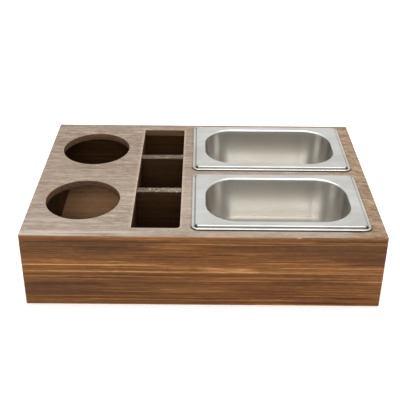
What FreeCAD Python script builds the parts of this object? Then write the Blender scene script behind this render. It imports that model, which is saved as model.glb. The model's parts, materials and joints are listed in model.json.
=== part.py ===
"""Countertop station organiser: a low stained-wood box with two round cup holes, a row of three
square compartments and two lift-out stainless steel food pans.

Frame: +X to the right, +Y to the back, +Z up. The origin is the centre of the box's underside.
Units are millimetres. Each sub-part is written to parts/NAME.step.
"""

import FreeCAD, Part
import math
import os
from FreeCAD import Vector

# ---------------------------------------------------------------- driving dimensions
BOX_WIDTH = 355.6  # left to right
BOX_DEPTH = 244.0  # front to back
BOX_HEIGHT = 83.0  # underside to the top panel's upper face

TOP_THICKNESS = 8.0
WALL_THICKNESS = 10.0
PARTITION_THICKNESS = 8.0
DIVIDER_THICKNESS = 9.0
BOTTOM_THICKNESS = 8.0
EASED_EDGE = 0.8  # sanded rounding on the edges that a hand meets
RIM_EASING = 0.5  # lighter sanding round the openings

# Round cup holes, one behind the other in the left third
CUP_HOLE_RADIUS = 38.2
CUP_HOLE_FROM_LEFT = 53.0  # hole centre to the box's left face
CUP_HOLES_FROM_FRONT = {"front": 67.2, "rear": 180.2}

# Long slot over the three compartments
SLOT_FROM_LEFT = 106.8
SLOT_WIDTH = 48.0
SLOT_FROM_FRONT = 15.1
SLOT_LENGTH = 214.7
SLOT_CORNER_RADIUS = 1.0
SLOT_ROUND_CORNER_RADIUS = 4.0  # the front right corner, where the cut was started
DIVIDERS_FROM_FRONT = {"front": 84.0, "rear": 158.1}  # front face of each divider
DIVIDER_SIDE_GAP = 0.15
DIVIDER_BELOW_TOP = 0.8

# One-ninth size gastronorm pans, 65 mm deep
PAN_LENGTH = 176.0
PAN_WIDTH = 108.0
PAN_DEPTH = 65.0
PAN_FROM_LEFT = 166.0  # lip's left edge to the box's left face
PANS_FROM_FRONT = {"front": 11.2, "rear": 129.2}  # lip's front edge to the box's front face
PAN_SHEET = 0.8
PAN_LIP_THICKNESS = 1.4  # the hemmed edge that rests on the wood
PAN_LIP_WIDTH = 2.6
PAN_LIP_CORNER = 7.0
PAN_STEP_INSET = 4.6  # outer edge to the start of the raised flange
PAN_FLANGE_TOP = 3.2  # flange's upper face above the wood
PAN_OPENING_LENGTH = 147.5
PAN_OPENING_WIDTH = 82.5
PAN_OPENING_CORNER = 32.0
PAN_WALL_DRAFT = 5.0  # how far each wall leans in from mouth to bottom
PAN_MOUTH_FILLET = 2.0
PAN_FLOOR_FILLET = 22.0
PAN_FLANGE_EDGE_FILLET = 1.2
PAN_STEP_FOOT_FILLET = 0.5
PAN_HEM_FILLET = 0.6
CUTOUT_INSET = 9.0  # pan's outer edge to the cut-out under it
CUTOUT_CORNER_RADIUS = 6.0

# Fasteners
BRAD_SHANK_RADIUS = 0.6
BRAD_HEAD_RADIUS = 1.0
BRAD_HEAD_THICKNESS = 0.6
BRAD_LENGTH = 28.0
PIN_RADIUS = 0.45
PIN_LENGTH = 22.0
SET_DEPTH = 1.5  # how far a nail is punched below a visible face, under filler
FASTENER_CLEARANCE = 0.02  # between a nail and its hole
TOP_PINS_ALONG_X = (-120.0, -30.0, 60.0, 145.0)
BRAD_HEIGHTS = (14.0, 37.0, 60.0)  # up each corner joint
PARTITION_BRAD_HEIGHTS = (22.0, 56.0)
DIVIDER_PIN_HEIGHTS = (25.0, 58.0)

# ---------------------------------------------------------------- derived places
LEFT, RIGHT = -BOX_WIDTH / 2, BOX_WIDTH / 2
FRONT, BACK = -BOX_DEPTH / 2, BOX_DEPTH / 2
WALL_TOP = BOX_HEIGHT - TOP_THICKNESS
INNER_LEFT, INNER_RIGHT = LEFT + WALL_THICKNESS, RIGHT - WALL_THICKNESS
INNER_FRONT, INNER_BACK = FRONT + WALL_THICKNESS, BACK - WALL_THICKNESS
SLOT_LEFT = LEFT + SLOT_FROM_LEFT
SLOT_RIGHT = SLOT_LEFT + SLOT_WIDTH
SLOT_FRONT = FRONT + SLOT_FROM_FRONT
SLOT_BACK = SLOT_FRONT + SLOT_LENGTH
CUP_HOLE_X = LEFT + CUP_HOLE_FROM_LEFT
PAN_X = LEFT + PAN_FROM_LEFT + PAN_LENGTH / 2
LEFT_PARTITION_X = SLOT_LEFT - PARTITION_THICKNESS / 2
RIGHT_PARTITION_X = SLOT_RIGHT + PARTITION_THICKNESS / 2


def cup_hole_y(which):
    return FRONT + CUP_HOLES_FROM_FRONT[which]


def pan_y(which):
    return FRONT + PANS_FROM_FRONT[which] + PAN_WIDTH / 2


# ---------------------------------------------------------------- building blocks
def block(x0, x1, y0, y1, z0, z1):
    """A box between two corners."""
    return Part.makeBox(x1 - x0, y1 - y0, z1 - z0, Vector(x0, y0, z0))


def corner_arc(centre, radius, start_deg):
    """A quarter arc about centre, anticlockwise from start_deg."""
    points = []
    for angle in (start_deg, start_deg + 45, start_deg + 90):
        a = math.radians(angle)
        points.append(centre + Vector(radius * math.cos(a), radius * math.sin(a), 0))
    return Part.Arc(*points).toShape()


def rounded_rectangle(x0, x1, y0, y1, radii, z):
    """A wire at height z. radii run from the front left corner anticlockwise."""
    fl, fr, br, bl = radii
    edges = [
        Part.LineSegment(Vector(x0 + fl, y0, z), Vector(x1 - fr, y0, z)).toShape(),
        corner_arc(Vector(x1 - fr, y0 + fr, z), fr, 270),
        Part.LineSegment(Vector(x1, y0 + fr, z), Vector(x1, y1 - br, z)).toShape(),
        corner_arc(Vector(x1 - br, y1 - br, z), br, 0),
        Part.LineSegment(Vector(x1 - br, y1, z), Vector(x0 + bl, y1, z)).toShape(),
        corner_arc(Vector(x0 + bl, y1 - bl, z), bl, 90),
        Part.LineSegment(Vector(x0, y1 - bl, z), Vector(x0, y0 + fl, z)).toShape(),
        corner_arc(Vector(x0 + fl, y0 + fl, z), fl, 180),
    ]
    return Part.Wire(edges)


def centred_wire(length, width, radius, z):
    """A rounded rectangle about the Z axis."""
    return rounded_rectangle(-length / 2, length / 2, -width / 2, width / 2, (radius,) * 4, z)


def prism(wire, height):
    """The wire's face, extruded along Z."""
    return Part.Face(wire).extrude(Vector(0, 0, height))


def frustum(lower, upper):
    """A solid between two similar wires at different heights."""
    return Part.makeLoft([lower, upper], True, True)


def cut_out(x0, x1, y0, y1, radii):
    """A prism through the top panel, longer than the panel is thick."""
    margin = 1.0
    wire = rounded_rectangle(x0, x1, y0, y1, radii, WALL_TOP - margin)
    return prism(wire, TOP_THICKNESS + 2 * margin)


def edges_where(shape, test):
    """The edges whose every vertex and middle point pass test."""
    chosen = []
    for edge in shape.Edges:
        middle = edge.valueAt((edge.FirstParameter + edge.LastParameter) / 2)
        points = [v.Point for v in edge.Vertexes] + [middle]
        if all(test(p) for p in points):
            chosen.append(edge)
    return chosen


def near(a, b, tolerance=1e-4):
    return abs(a - b) < tolerance


# ---------------------------------------------------------------- nails and pins
def rod(start, direction, radius, length, clearance):
    """A round bar, or with clearance the space that it sits in."""
    back = start - direction * clearance
    return Part.makeCylinder(radius + clearance, length + 2 * clearance, back, direction)


def brad(face_point, direction, clearance):
    """A headed nail driven in at face_point and punched below the face."""
    start = face_point + direction * SET_DEPTH
    shank = rod(start, direction, BRAD_SHANK_RADIUS, BRAD_LENGTH, clearance)
    head = rod(start, direction, BRAD_HEAD_RADIUS, BRAD_HEAD_THICKNESS, clearance)
    return shank.fuse(head).removeSplitter()


def pin(face_point, direction, clearance):
    """A headless nail driven in at face_point and punched below the face."""
    return rod(face_point + direction * SET_DEPTH, direction, PIN_RADIUS, PIN_LENGTH, clearance)


INTO_BACK, INTO_FRONT = Vector(0, 1, 0), Vector(0, -1, 0)
INTO_RIGHT, INTO_LEFT = Vector(1, 0, 0), Vector(-1, 0, 0)
DOWN = Vector(0, 0, -1)
SIDE_WALL_MIDDLES = (LEFT + WALL_THICKNESS / 2, RIGHT - WALL_THICKNESS / 2)
END_WALL_MIDDLES = (FRONT + WALL_THICKNESS / 2, BACK - WALL_THICKNESS / 2)
QUARTER_DEPTH = BOX_DEPTH / 4


def end_board_brads(face_y, direction, clearance):
    """Brads through the front or back board, into the side boards and the partitions."""
    points = [Vector(x, face_y, z) for x in SIDE_WALL_MIDDLES for z in BRAD_HEIGHTS]
    for x in (LEFT_PARTITION_X, RIGHT_PARTITION_X):
        points += [Vector(x, face_y, z) for z in PARTITION_BRAD_HEIGHTS]
    return [brad(point, direction, clearance) for point in points]


def bottom_panel_brads(clearance):
    """Brads through both side boards, into the bottom panel's edges."""
    solids = []
    for face_x, direction in ((LEFT, INTO_RIGHT), (RIGHT, INTO_LEFT)):
        for y in (-QUARTER_DEPTH, 0, QUARTER_DEPTH):
            solids.append(brad(Vector(face_x, y, BOTTOM_THICKNESS / 2), direction, clearance))
    return solids


def top_panel_pins(clearance):
    """Pins down through the top panel, into the four boards round it."""
    points = [Vector(x, y, BOX_HEIGHT) for x in TOP_PINS_ALONG_X for y in END_WALL_MIDDLES]
    points += [Vector(x, y, BOX_HEIGHT) for x in SIDE_WALL_MIDDLES for y in (-QUARTER_DEPTH, QUARTER_DEPTH)]
    return [pin(point, DOWN, clearance) for point in points]


def divider_end_pins(clearance):
    """Pins through both partitions, into the ends of the dividers."""
    faces = (
        (LEFT_PARTITION_X - PARTITION_THICKNESS / 2, INTO_RIGHT),
        (RIGHT_PARTITION_X + PARTITION_THICKNESS / 2, INTO_LEFT),
    )
    solids = []
    for face_x, direction in faces:
        for from_front in DIVIDERS_FROM_FRONT.values():
            y = FRONT + from_front + DIVIDER_THICKNESS / 2
            solids += [pin(Vector(face_x, y, z), direction, clearance) for z in DIVIDER_PIN_HEIGHTS]
    return solids


def fasteners(clearance=0.0):
    """Every fastener group by name. With clearance, the spaces that they sit in."""
    return {
        "front_brads": end_board_brads(FRONT, INTO_BACK, clearance),
        "back_brads": end_board_brads(BACK, INTO_FRONT, clearance),
        "bottom_brads": bottom_panel_brads(clearance),
        "top_pins": top_panel_pins(clearance),
        "divider_pins": divider_end_pins(clearance),
    }


def drilled(solid, holes):
    """The solid without the nail holes that reach it."""
    box = solid.BoundBox
    reaching = [h for h in holes if box.intersect(h.BoundBox)]
    return solid.cut(Part.makeCompound(reaching)) if reaching else solid


# ---------------------------------------------------------------- wooden pieces
def top_panel():
    panel = block(LEFT, RIGHT, FRONT, BACK, WALL_TOP, BOX_HEIGHT)
    small, large = SLOT_CORNER_RADIUS, SLOT_ROUND_CORNER_RADIUS
    openings = [cut_out(SLOT_LEFT, SLOT_RIGHT, SLOT_FRONT, SLOT_BACK, (small, large, small, small))]
    for which in CUP_HOLES_FROM_FRONT:
        base = Vector(CUP_HOLE_X, cup_hole_y(which), WALL_TOP - 1)
        openings.append(Part.makeCylinder(CUP_HOLE_RADIUS, TOP_THICKNESS + 2, base))
    for which in PANS_FROM_FRONT:
        half_length = PAN_LENGTH / 2 - CUTOUT_INSET
        half_width = PAN_WIDTH / 2 - CUTOUT_INSET
        y = pan_y(which)
        openings.append(
            cut_out(
                PAN_X - half_length,
                PAN_X + half_length,
                y - half_width,
                y + half_width,
                (CUTOUT_CORNER_RADIUS,) * 4,
            )
        )
    panel = panel.cut(Part.makeCompound(openings))
    outline = edges_where(
        panel,
        lambda p: near(p.z, BOX_HEIGHT)
        and (near(abs(p.x), RIGHT) or near(abs(p.y), BACK)),
    )
    outline += edges_where(panel, lambda p: near(abs(p.x), RIGHT) and near(abs(p.y), BACK))
    panel = panel.makeFillet(EASED_EDGE, outline)
    # The cup holes and the slot are eased. The pan cut-outs are left sharp under the pans' lips.
    rims = edges_where(
        panel,
        lambda p: near(p.z, BOX_HEIGHT) and LEFT + 2 < p.x < SLOT_RIGHT + 0.1 and abs(p.y) < BACK - 2,
    )
    return panel.makeFillet(RIM_EASING, rims)


def end_board(y0, y1, outer_y):
    """The front or back board, full width, with its outer corners eased."""
    board = block(LEFT, RIGHT, y0, y1, 0, WALL_TOP)
    corners = edges_where(board, lambda p: near(abs(p.x), RIGHT) and near(p.y, outer_y))
    underside = edges_where(board, lambda p: near(p.z, 0) and near(p.y, outer_y))
    return board.makeFillet(EASED_EDGE, corners + underside)


def side_board(x0, x1, outer_x):
    """A side board, held between the front and back boards."""
    board = block(x0, x1, INNER_FRONT, INNER_BACK, 0, WALL_TOP)
    underside = edges_where(board, lambda p: near(p.z, 0) and near(p.x, outer_x))
    return board.makeFillet(EASED_EDGE, underside)


def partition(centre_x):
    """A full-depth board under one long edge of the slot."""
    half = PARTITION_THICKNESS / 2
    return block(centre_x - half, centre_x + half, INNER_FRONT, INNER_BACK, BOTTOM_THICKNESS, WALL_TOP)


def divider(which):
    """A cross board between two compartments, its top edge nearly flush with the top panel."""
    y0 = FRONT + DIVIDERS_FROM_FRONT[which]
    board = block(
        SLOT_LEFT + DIVIDER_SIDE_GAP,
        SLOT_RIGHT - DIVIDER_SIDE_GAP,
        y0,
        y0 + DIVIDER_THICKNESS,
        BOTTOM_THICKNESS,
        BOX_HEIGHT - DIVIDER_BELOW_TOP,
    )
    top_edges = edges_where(
        board,
        lambda p: near(p.z, BOX_HEIGHT - DIVIDER_BELOW_TOP)
        and (near(p.y, y0) or near(p.y, y0 + DIVIDER_THICKNESS)),
    )
    return board.makeFillet(RIM_EASING, top_edges)


def bottom_panel():
    return block(INNER_LEFT, INNER_RIGHT, INNER_FRONT, INNER_BACK, 0, BOTTOM_THICKNESS)


# ---------------------------------------------------------------- steel pans
def pan_bowl(grow, top_z, floor_z, floor_fillet):
    """The bowl as a full solid, grow larger than the opening all round, with its floor edge rounded."""

    def outline(offset, z):
        length, width = PAN_OPENING_LENGTH + 2 * offset, PAN_OPENING_WIDTH + 2 * offset
        return centred_wire(length, width, PAN_OPENING_CORNER + offset, z)

    bowl = frustum(outline(grow - PAN_WALL_DRAFT, floor_z), outline(grow, top_z))
    return bowl.makeFillet(floor_fillet, edges_where(bowl, lambda p: near(p.z, floor_z)))


def inset_wire(inset, z):
    """A wire that runs inset inside the pan's outer edge."""
    corner = max(PAN_LIP_CORNER - inset, 1.0)
    return centred_wire(PAN_LENGTH - 2 * inset, PAN_WIDTH - 2 * inset, corner, z)


def pan_rim():
    """The hemmed lip, the step up from it and the flat flange, with no bowl yet."""
    lip = prism(inset_wire(0, 0), PAN_LIP_THICKNESS)
    step = frustum(inset_wire(PAN_LIP_WIDTH, PAN_LIP_THICKNESS), inset_wire(PAN_STEP_INSET, PAN_FLANGE_TOP))
    rim = lip.fuse(step).removeSplitter()
    run, rise = PAN_STEP_INSET - PAN_LIP_WIDTH, PAN_FLANGE_TOP - PAN_LIP_THICKNESS
    slope = math.hypot(run, rise)
    # The underside runs one sheet thickness below the step and the flange.
    under_x = PAN_LIP_WIDTH + PAN_SHEET * rise / slope
    under_z = PAN_LIP_THICKNESS - PAN_SHEET * run / slope
    ceiling = PAN_FLANGE_TOP - PAN_SHEET
    foot_inset = under_x - under_z * run / rise
    ceiling_inset = under_x + (ceiling - under_z) * run / rise
    hollow = frustum(inset_wire(foot_inset, 0), inset_wire(ceiling_inset, ceiling))
    return rim.cut(hollow)


def on_bowl(p):
    """Whether a point of the pan lies on or beside the bowl."""
    beside = 2.0
    return (
        abs(p.x) < PAN_OPENING_LENGTH / 2 + beside and abs(p.y) < PAN_OPENING_WIDTH / 2 + beside
    )


def on_hem(p):
    """Whether a point of the pan lies on its outermost edge."""
    past_x = abs(p.x) - (PAN_LENGTH / 2 - PAN_LIP_CORNER)
    past_y = abs(p.y) - (PAN_WIDTH / 2 - PAN_LIP_CORNER)
    if past_x > 0 and past_y > 0:
        return near(math.hypot(past_x, past_y), PAN_LIP_CORNER, 1e-3)
    return near(past_x, PAN_LIP_CORNER) or near(past_y, PAN_LIP_CORNER)


def pan():
    """One pan about the Z axis, with z = 0 at the wood that its lip rests on."""
    floor_under = PAN_FLANGE_TOP - PAN_DEPTH
    outer = pan_bowl(PAN_SHEET, PAN_FLANGE_TOP, floor_under, PAN_FLOOR_FILLET)
    inner = pan_bowl(0, PAN_FLANGE_TOP, floor_under + PAN_SHEET, PAN_FLOOR_FILLET - PAN_SHEET)
    shell = pan_rim().fuse(outer).cut(inner).removeSplitter()

    ceiling = PAN_FLANGE_TOP - PAN_SHEET
    rounded = [
        (PAN_MOUTH_FILLET, lambda p: near(p.z, PAN_FLANGE_TOP) and on_bowl(p)),
        (PAN_MOUTH_FILLET - PAN_SHEET, lambda p: near(p.z, ceiling) and on_bowl(p)),
        (PAN_FLANGE_EDGE_FILLET, lambda p: near(p.z, PAN_FLANGE_TOP) and not on_bowl(p)),
        (PAN_STEP_FOOT_FILLET, lambda p: near(p.z, PAN_LIP_THICKNESS) and not on_hem(p)),
        (PAN_HEM_FILLET, lambda p: (near(p.z, PAN_LIP_THICKNESS) or near(p.z, 0)) and on_hem(p)),
    ]
    for radius, test in rounded:
        shell = shell.makeFillet(radius, edges_where(shell, test))
    return shell


def placed_pan(which):
    solid = pan()
    solid.translate(Vector(PAN_X, pan_y(which), BOX_HEIGHT))
    return solid


# ---------------------------------------------------------------- the whole object
def build():
    wooden = {
        "top_panel": top_panel(),
        "front_board": end_board(FRONT, INNER_FRONT, FRONT),
        "back_board": end_board(INNER_BACK, BACK, BACK),
        "left_board": side_board(LEFT, INNER_LEFT, LEFT),
        "right_board": side_board(INNER_RIGHT, RIGHT, RIGHT),
        "bottom_panel": bottom_panel(),
        "cup_bay_partition": partition(LEFT_PARTITION_X),
        "pan_bay_partition": partition(RIGHT_PARTITION_X),
        "front_divider": divider("front"),
        "rear_divider": divider("rear"),
    }
    holes = [hole for group in fasteners(FASTENER_CLEARANCE).values() for hole in group]
    parts = {name: drilled(solid, holes) for name, solid in wooden.items()}
    parts["front_pan"] = placed_pan("front")
    parts["rear_pan"] = placed_pan("rear")
    for name, group in fasteners().items():
        parts[name] = Part.makeCompound(group)
    return parts


def export(parts):
    os.makedirs("parts", exist_ok=True)
    for name, shape in parts.items():
        shape.exportStep(os.path.join("parts", name + ".step"))
        print(f"{name}: {len(shape.Solids)} solid(s), {shape.Volume:.0f} mm3, valid {shape.isValid()}")


export(build())
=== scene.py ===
"""Looks for the countertop condiment and cup organiser: torched wooden box, brushed steel food pans.

Everything is in metres, unless a comment says mm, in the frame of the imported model: +X right, +Y back,
+Z up, with the origin at the centre of the box's underside.
"""

import json
import math
import random

import bmesh
import bpy
import numpy as np
from mathutils import Matrix, Vector, noise
from mathutils.geometry import delaunay_2d_cdt


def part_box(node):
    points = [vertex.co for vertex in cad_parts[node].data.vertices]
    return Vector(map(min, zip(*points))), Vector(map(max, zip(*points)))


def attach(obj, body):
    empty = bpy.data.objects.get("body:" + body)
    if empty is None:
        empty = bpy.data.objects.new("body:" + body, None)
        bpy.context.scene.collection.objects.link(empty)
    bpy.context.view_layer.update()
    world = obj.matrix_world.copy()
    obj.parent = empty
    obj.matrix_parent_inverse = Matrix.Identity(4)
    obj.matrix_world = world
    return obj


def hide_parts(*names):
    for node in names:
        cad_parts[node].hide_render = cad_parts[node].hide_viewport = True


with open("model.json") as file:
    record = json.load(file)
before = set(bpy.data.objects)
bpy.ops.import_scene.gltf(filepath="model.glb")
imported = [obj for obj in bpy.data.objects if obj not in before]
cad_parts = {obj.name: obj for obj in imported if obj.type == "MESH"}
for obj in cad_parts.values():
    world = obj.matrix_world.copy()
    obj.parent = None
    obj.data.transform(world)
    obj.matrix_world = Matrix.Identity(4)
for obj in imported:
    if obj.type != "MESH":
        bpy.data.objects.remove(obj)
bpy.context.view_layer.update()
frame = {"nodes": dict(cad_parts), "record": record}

MM = 0.001
X_GRAIN, Y_GRAIN = 0, 1  # the axis that a board's grain runs along

# -------------------------------- sizes read from the frame
TOP_LOW, TOP_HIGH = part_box("top_panel")
SLOT_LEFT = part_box("cup_bay_partition")[1].x
SLOT_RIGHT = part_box("pan_bay_partition")[0].x
MOUNTS = {mount["name"]: mount for mount in frame["record"]["mounts"]}
CUP_HOLES = [MOUNTS["front_cup_hole"], MOUNTS["rear_cup_hole"]]
PANS = ("front_pan", "rear_pan")

# -------------------------------- sizes that the frame doesn't give
SLOT_FROM_FRONT = 15.1 * MM
SLOT_LENGTH = 214.7 * MM
SLOT_CORNER = 1.0 * MM
SLOT_ROUND_CORNER = 4.0 * MM  # front right
CUTOUT_INSET = 9.0 * MM  # a pan's outer edge to its cut-out
CUTOUT_CORNER = 6.0 * MM

PANEL_CORNER = 1.2 * MM
PANEL_EASE = 0.8 * MM
RIM_EASE = 0.6 * MM
JOINT_EASE = 0.3 * MM
BOARD_EASE = 0.6 * MM
OUTLINE_STEP = 1.6 * MM  # spacing of points round outlines
GRAIN_STEP_ALONG = 4.5 * MM  # spacing of surface points along and across the grain
GRAIN_STEP_ACROSS = 1.3 * MM
PLAIN_STEP = 1.6 * GRAIN_STEP_ACROSS  # spacing across the grain where nothing finer is needed
ROUGH_STEP = 0.5 * GRAIN_STEP_ACROSS  # spacing where a board's top is chipped
STREAK_STEP = 0.45 * MM  # spacing across the grain where a board carries streaks

# The pan's rim, as insets from its outer edge and heights above the wood, and its bowl
PAN_SHEET = 0.8 * MM
PAN_LIP_THICKNESS = 1.4 * MM
PAN_LIP_CORNER = 7.0 * MM
PAN_FLANGE_TOP = 3.2 * MM
PAN_OPENING = (147.5 * MM, 82.5 * MM)
PAN_OPENING_CORNER = 32.0 * MM
PAN_DRAFT = 5.0 * MM
PAN_MOUTH_FILLET = 2.0 * MM
PAN_FLOOR_FILLET = 21.2 * MM
PAN_DENT = 0.12 * MM  # how far pressing has left the sheet out of true
PAN_DENT_RATE = 22  # how fast that changes, per metre


# -------------------------------- mesh helpers
SMOOTH_BELOW = 32.0  # degrees between two faces, above which the edge between them is sharp


def finish_mesh(name, bm, smooth_below=SMOOTH_BELOW):
    """Turns a bmesh into an object with outward normals, smooth but for its sharp edges."""
    bmesh.ops.recalc_face_normals(bm, faces=bm.faces)
    mesh = bpy.data.meshes.new(name)
    bm.to_mesh(mesh)
    bm.free()
    mesh.shade_smooth()
    mesh.set_sharp_from_angle(angle=math.radians(smooth_below))
    piece = bpy.data.objects.new(name, mesh)
    bpy.context.scene.collection.objects.link(piece)
    return piece


def place(piece, body, node, material):
    """Makes a piece stand for a CAD node."""
    piece.data.materials.append(material)
    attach(piece, body)
    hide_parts(node)


def set_point_value(piece, name, values):
    attribute = piece.data.attributes.new(name, "FLOAT", "POINT")
    attribute.data.foreach_set("value", np.asarray(values, np.float32))


def finish_wood(name, bm, values):
    """A wooden piece from its bmesh, with each point's figure, wear (with any painted highlight) and shade
    (torch char and painted shade) as attributes.
    """
    ordered = {key: [by_vertex[vertex] for vertex in bm.verts] for key, by_vertex in values.items()}
    piece = finish_mesh(name + "_wood", bm)
    for key, numbers in ordered.items():
        set_point_value(piece, key, numbers)
    return piece


def smoothstep(low, high, value):
    t = min(1.0, max(0.0, (value - low) / (high - low)))
    return t * t * (3 - 2 * t)


RELIEF_DEPTH = 0.1 * MM  # how deep brushing has worn the soft grain
RELIEF_ALONG, RELIEF_ACROSS = 12, 170  # how fast the relief changes along and across the grain, per metre


def wood_relief(point, grain_axis, seed):
    """How far below the true face the brushed surface lies at a point."""
    across = [point[axis] * RELIEF_ACROSS for axis in range(3) if axis != grain_axis]
    stretched = Vector((point[grain_axis] * RELIEF_ALONG + seed, *across))
    return RELIEF_DEPTH * 0.5 * (1 + noise.noise(stretched))


# -------------------------------- streaks in the wood
# (height, thickness, from, to, how light from -1 to 1), in mm above the underside and along the board
FRONT_STREAKS = [
    (74.1, 0.9, -48, 200, 0.75),
    (69.3, 4.4, -128, -66, -0.3),
    (69.0, 9.0, -60, -8, 0.35),
    (70.5, 4.0, 0, 66, -0.3),
    (66.0, 1.2, -180, -60, 0.2),
    (61.8, 1.3, 2, 36, -0.85),
    (62.3, 1.0, 36, 54, 0.9),
    (58.4, 3.8, -80, 6, -0.45),
    (56.0, 6.5, 118, 185, -0.35),
    (52.6, 2.5, -170, -70, 0.25),
    (51.0, 1.2, 132, 185, -1.0),
    (49.2, 1.3, -185, -44, 0.65),
    (47.0, 1.3, -52, 12, 0.6),
    (44.3, 6.5, -6, 56, 0.5),
    (46.4, 1.2, 62, 185, 0.6),
    (44.0, 1.4, -150, -30, -0.25),
    (41.0, 1.5, -185, 64, 0.5),
    (40.0, 1.2, 60, 185, 0.5),
    (37.6, 2.6, -185, 40, -0.4),
    (34.6, 1.0, -185, -10, 0.6),
    (33.2, 1.0, -180, -56, -0.7),
    (34.0, 1.0, 2, 110, 0.3),
    (30.6, 1.1, 108, 185, 0.6),
    (28.5, 1.5, 60, 150, -0.35),
    (26.0, 4.5, -170, -92, -0.3),
    (22.8, 1.2, -110, -50, -0.5),
    (20.5, 1.0, -140, -70, 0.45),
    (18.0, 3.2, -60, 30, 0.2),
    (16.5, 1.1, -150, -96, -0.55),
    (14.2, 1.0, 40, 160, -0.5),
    (12.0, 1.0, -170, -40, -0.35),
    (9.2, 1.4, 120, 172, -0.6),
    (6.5, 1.1, -120, 104, 0.7),
    (3.2, 2.2, -20, 160, -0.5),
    (0.6, 0.9, -180, 180, 0.45),
]
TOP_EDGE_STREAKS = [
    (81.8, 1.2, -185, 185, 0.35),
    (79.6, 1.0, -120, -20, 0.3),
    (78.2, 1.6, 106, 185, -0.75),
    (77.4, 1.2, -150, -60, -0.6),
    (76.0, 1.0, -185, -30, -0.8),
    (76.6, 1.0, -20, 110, 0.3),
]
STREAK_FADE = 14.0  # mm over which a streak's ends fade out
STREAK_NARROWING = 1.5  # to either side of its middle, a streak reaches its thickness over this
STREAK_WANDERS = ((0.8, 9, 12), (0.25, 45, 40))  # (mm, changes per metre along the board, and up it)
PLAIN_ABOVE = 54.0  # mm above the underside, over which the boards' figure is fainter


def random_streaks(seed, low, high, reach):
    """Streaks like the front board's at random heights in mm, on a board from -reach to reach."""
    draw = random.Random(seed)
    streaks = []
    height = low
    while height < high:
        start = draw.uniform(-1.5, 0.5) * reach
        end = start + draw.uniform(0.6, 2.4) * reach
        thickness = draw.choice((0.9, 1.1, 1.4, 3.0, 5.0))
        streaks.append((height, thickness, start, end, draw.choice((-1, 1)) * draw.uniform(0.25, 0.8)))
        height += draw.uniform(1.2, 3.6)
    return streaks


def hairlines(seed, low, high, reach):
    """Faint thin streaks all over a board, close together."""
    draw = random.Random(seed)
    lines = []
    height = low
    while height < high:
        start = draw.uniform(-1.1, 0.8) * reach
        end = start + draw.uniform(0.2, 1.0) * reach
        strength = 0.5 if height > PLAIN_ABOVE else 1.0
        lines.append((height, draw.uniform(0.9, 1.3), start, end, strength * draw.uniform(-0.5, 0.4)))
        height += draw.uniform(0.2, 0.6)
    return lines


def streak_tone(streaks, along, height, seed):
    """The summed tone of the streaks at a point, whose lines wander gently along the board."""
    wander = 0.0
    for reach, rate_along, rate_up in STREAK_WANDERS:
        wander += reach * noise.noise(Vector((along * rate_along, height * rate_up, seed)))
    x, z = along / MM, height / MM + wander
    tone = 0.0
    for middle, thickness, start, end, lightness in streaks:
        off = STREAK_NARROWING * abs(z - middle) / thickness
        if off < 1 and start < x < end:
            fade = min(1.0, (x - start) / STREAK_FADE, (end - x) / STREAK_FADE)
            tone += lightness * fade * (1 - off * off) ** 2
    return tone


# -------------------------------- boards
EASE_ANGLES = (15.0, 30.0, 45.0)
STREAK_RELIEF = 0.08 * MM  # how far light streaks stand above dark ones
EDGE_WEAR = 0.2 * MM  # how much more is worn off an eased edge
EDGE_BARE = 0.35  # and how much of its stain
EDGE_RATE = 90  # how fast the wear along an edge changes, per metre
CHIP_RATES = (330, 800)  # how fast a chipped top changes, per metre
CHIPPED_DOWN_TO, BARE_DOWN_TO = 5 * MM, 2.5 * MM  # how far down a chipped board's sides it shows
FIGURE = 0.5  # how strongly streaks show
HIDDEN_FIGURE, HIDDEN_SHADE = 0.1, 0.85  # on a face inside the box, and how much painted shade darkens that face

# Where the torch has darkened the boards more: low on the box's left half, and along its top
LOW_SMOKE, LOW_SMOKE_HEIGHT, LOW_SMOKE_SPREAD = 0.5, 20 * MM, 26 * MM
LOW_SMOKE_FADE = (-170 * MM, 50 * MM)  # from the left end towards the right
HIGH_SMOKE, HIGH_SMOKE_HEIGHTS = 0.45, (PLAIN_ABOVE * MM, 64 * MM)
HIGH_SMOKE_FADE = (20 * MM, 90 * MM)  # from the middle towards either end


def stops_along(half, ease, spacing):
    """Grid stops across one direction of a board, closer together over its eased edges."""
    edge = [half - ease + ease * math.tan(math.radians(angle)) for angle in EASE_ANGLES]
    flat = half - ease
    count = max(2, round(2 * flat / spacing))
    middle = [flat * (2 * i / count - 1) for i in range(count + 1)]
    return [-stop for stop in reversed(edge)] + middle + edge


def board_surface(bm, stops):
    """The outer faces of a box whose grid lines are at the given stops. Returns its vertices."""
    last = [len(line) - 1 for line in stops]
    vertices = {}

    def vertex(index):
        if index not in vertices:
            vertices[index] = bm.verts.new([stops[axis][index[axis]] for axis in range(3)])
        return vertices[index]

    for axis in range(3):
        b, c = (axis + 1) % 3, (axis + 2) % 3
        for side in (0, last[axis]):
            for i in range(last[b]):
                for j in range(last[c]):
                    corners = []
                    for di, dj in ((0, 0), (1, 0), (1, 1), (0, 1)):
                        index = [0, 0, 0]
                        index[axis], index[b], index[c] = side, i + di, j + dj
                        corners.append(vertex(tuple(index)))
                    bm.faces.new(corners)
    return list(vertices.values())


def smoke(spot):
    """How much more the torch has darkened a spot."""
    low_down = 1 - smoothstep(0.0, LOW_SMOKE_SPREAD, abs(spot.z - LOW_SMOKE_HEIGHT))
    low_left = LOW_SMOKE * low_down * (1 - smoothstep(*LOW_SMOKE_FADE, spot.x))
    high_up = smoothstep(*HIGH_SMOKE_HEIGHTS, spot.z)
    return max(low_left, HIGH_SMOKE * high_up * smoothstep(*HIGH_SMOKE_FADE, abs(spot.x)))


def edge_wear(outward, spot, seed):
    """How worn a point is, from 0 on a flat face to about 1 on an eased edge."""
    edge = (1 - max(abs(value) for value in outward)) / (1 - math.sqrt(0.5))
    return min(1.0, edge) * (0.6 + 0.8 * noise.noise(spot * EDGE_RATE + Vector((seed, 0, 0))))


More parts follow.
